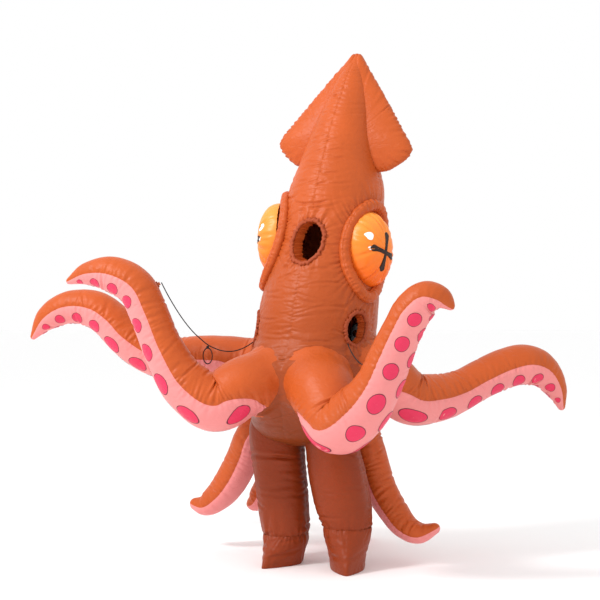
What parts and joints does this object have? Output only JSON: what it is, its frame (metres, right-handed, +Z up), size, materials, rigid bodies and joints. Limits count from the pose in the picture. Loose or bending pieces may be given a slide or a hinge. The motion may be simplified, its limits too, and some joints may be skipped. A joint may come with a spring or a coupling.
{
  "type": "inflatable squid costume",
  "caption": "Air-blown squid costume for a child, with lifted tentacles, hanging rear tentacles, blown eyes, trouser legs, a back zip and a battery blower.",
  "frame": {"origin": "middle of the bounding box on the floor", "axes": "+Z up, the wearer faces -Y, +X is to the viewer's right"},
  "size_m": [2.0102, 1.1501, 1.975],
  "materials": {
    "nylon": "thin semi-gloss taffeta, orange brown",
    "nylon_dark": "thin semi-gloss taffeta, dark brown",
    "sole": "thin taffeta, pink, printed with suckers",
    "eye": "thin taffeta, orange, with a printed pupil",
    "elastic": "gathered elastic hem",
    "zip_tape": "woven tape with a nylon coil",
    "zip_metal": "die-cast zinc",
    "plastic": "moulded black ABS",
    "motor": "plated can",
    "cell": "sleeved AA cell",
    "cable": "PVC sleeved lead",
    "cord": "thin braided black cord"
  },
  "bodies": {
    "root": {"mantle_left_panel": "nylon", "torso_front_left_panel": "nylon", "torso_back_left_panel": "nylon", "fin_left": "nylon", "arm_cuff_left": "elastic", "eye_dome_left": "eye", "eyelid_left": "nylon", "zip_stringer_left": "zip_tape", "cord_left": "cord", "wrist_loop_left": "cord", "mantle_right_panel": "nylon", "torso_front_right_panel": "nylon", "torso_back_right_panel": "nylon", "fin_right": "nylon", "arm_cuff_right": "elastic", "eye_dome_right": "eye", "eyelid_right": "nylon", "zip_stringer_right": "zip_tape", "cord_right": "cord", "wrist_loop_right": "cord", "pelvis_gusset": "nylon", "face_opening_hem": "elastic", "fan_housing": "plastic", "fan_clamp_ring": "plastic", "fan_grille": "plastic", "fan_motor": "motor", "battery_case": "plastic", "fan_cable": "cable", "battery_cell_1": "cell", "battery_cell_2": "cell", "battery_cell_3": "cell", "battery_cell_4": "cell"},
    "leg_left": {"leg_left": "nylon_dark", "shoe_cover_left": "nylon_dark"},
    "tentacle_front_left": {"cord_tab_left": "elastic", "tentacle_front_left_upper": "nylon", "tentacle_front_left_sole": "sole"},
    "leg_right": {"leg_right": "nylon_dark", "shoe_cover_right": "nylon_dark"},
    "tentacle_front_right": {"cord_tab_right": "elastic", "tentacle_front_right_upper": "nylon", "tentacle_front_right_sole": "sole"},
    "tentacle_back_left": {"tentacle_back_left_upper": "nylon", "tentacle_back_left_sole": "sole"},
    "tentacle_back_right": {"tentacle_back_right_upper": "nylon", "tentacle_back_right_sole": "sole"},
    "tentacle_rear_outer_left": {"tentacle_rear_outer_left_upper": "nylon", "tentacle_rear_outer_left_sole": "sole"},
    "tentacle_rear_inner_left": {"tentacle_rear_inner_left_upper": "nylon", "tentacle_rear_inner_left_sole": "sole"},
    "tentacle_rear_outer_right": {"tentacle_rear_outer_right_upper": "nylon", "tentacle_rear_outer_right_sole": "sole"},
    "tentacle_rear_inner_right": {"tentacle_rear_inner_right_upper": "nylon", "tentacle_rear_inner_right_sole": "sole"},
    "fan_impeller": {"fan_impeller": "plastic"},
    "battery_lid": {"battery_lid": "plastic"},
    "power_switch": {"power_switch": "plastic"},
    "zip_slider": {"zip_slider": "zip_metal"},
    "zip_pull": {"zip_pull": "zip_metal"}
  },
  "joints": [
    {"name": "front_left_lift", "type": "hinge", "parent": "root", "child": "tentacle_front_left", "pos_m": [0.0022, -0.2969, 0.69], "axis": [-0.3676, 0.93, 0], "range_deg": [-8, 15], "stiffness_Nm_per_rad": 25, "deforming": ["cord_left"]},
    {"name": "back_left_lift", "type": "hinge", "parent": "root", "child": "tentacle_back_left", "pos_m": [-0.1298, -0.0089, 0.755], "axis": [-0.2947, 0.9556, 0], "range_deg": [-8, 12], "stiffness_Nm_per_rad": 25},
    {"name": "front_right_lift", "type": "hinge", "parent": "root", "child": "tentacle_front_right", "pos_m": [0.3102, -0.2909, 0.675], "axis": [-0.2212, -0.9752, 0], "range_deg": [-8, 15], "stiffness_Nm_per_rad": 25, "deforming": ["cord_right"]},
    {"name": "back_right_lift", "type": "hinge", "parent": "root", "child": "tentacle_back_right", "pos_m": [0.4342, -0.0089, 0.72], "axis": [0.6779, -0.7352, 0], "range_deg": [-8, 12], "stiffness_Nm_per_rad": 25},
    {"name": "rear_outer_left_lift", "type": "hinge", "parent": "root", "child": "tentacle_rear_outer_left", "pos_m": [-0.0728, 0.0911, 0.575], "axis": [-0.1662, 0.9861, 0], "range_deg": [-3, 18], "stiffness_Nm_per_rad": 10},
    {"name": "rear_inner_left_lift", "type": "hinge", "parent": "root", "child": "tentacle_rear_inner_left", "pos_m": [0.0482, 0.1471, 0.56], "axis": [0.2246, 0.9744, 0], "range_deg": [-3, 18], "stiffness_Nm_per_rad": 10},
    {"name": "rear_outer_right_lift", "type": "hinge", "parent": "root", "child": "tentacle_rear_outer_right", "pos_m": [0.3022, 0.0811, 0.575], "axis": [0.064, -0.998, 0], "range_deg": [-3, 18], "stiffness_Nm_per_rad": 10},
    {"name": "rear_inner_right_lift", "type": "hinge", "parent": "root", "child": "tentacle_rear_inner_right", "pos_m": [0.1662, 0.1561, 0.56], "axis": [0.9899, 0.1414, 0], "range_deg": [0, 18], "stiffness_Nm_per_rad": 10},
    {"name": "hip_left", "type": "hinge", "parent": "root", "child": "leg_left", "pos_m": [0.0022, -0.0589, 0.505], "axis": [-1, 0, 0], "range_deg": [-8, 20], "stiffness_Nm_per_rad": 60},
    {"name": "hip_right", "type": "hinge", "parent": "root", "child": "leg_right", "pos_m": [0.2302, -0.0589, 0.505], "axis": [-1, 0, 0], "range_deg": [-8, 20], "stiffness_Nm_per_rad": 60},
    {"name": "fan_spin", "type": "hinge", "parent": "root", "child": "fan_impeller", "pos_m": [0.27559, 0.14875, 0.87593], "axis": [0.4826, 0.8681, -0.1158], "continuous": true},
    {"name": "battery_lid_slide", "type": "slide", "parent": "root", "child": "battery_lid", "axis": [0.1027, 0.0877, 0.9908], "range_m": [0, 0.05]},
    {"name": "power_switch_slide", "type": "slide", "parent": "root", "child": "power_switch", "axis": [-0.868, -0.4787, 0.1323], "range_m": [0, 0.004]},
    {"name": "zip_slide", "type": "slide", "parent": "root", "child": "zip_slider", "axis": [0.0911, 0.0881, 0.9919], "range_m": [-0.56, 0]},
    {"name": "zip_pull_swing", "type": "hinge", "parent": "zip_slider", "child": "zip_pull", "pos_m": [0.20987, 0.24057, 1.39133], "axis": [0.9958, -0.0081, -0.0908], "range_deg": [0, 110]}
  ]
}
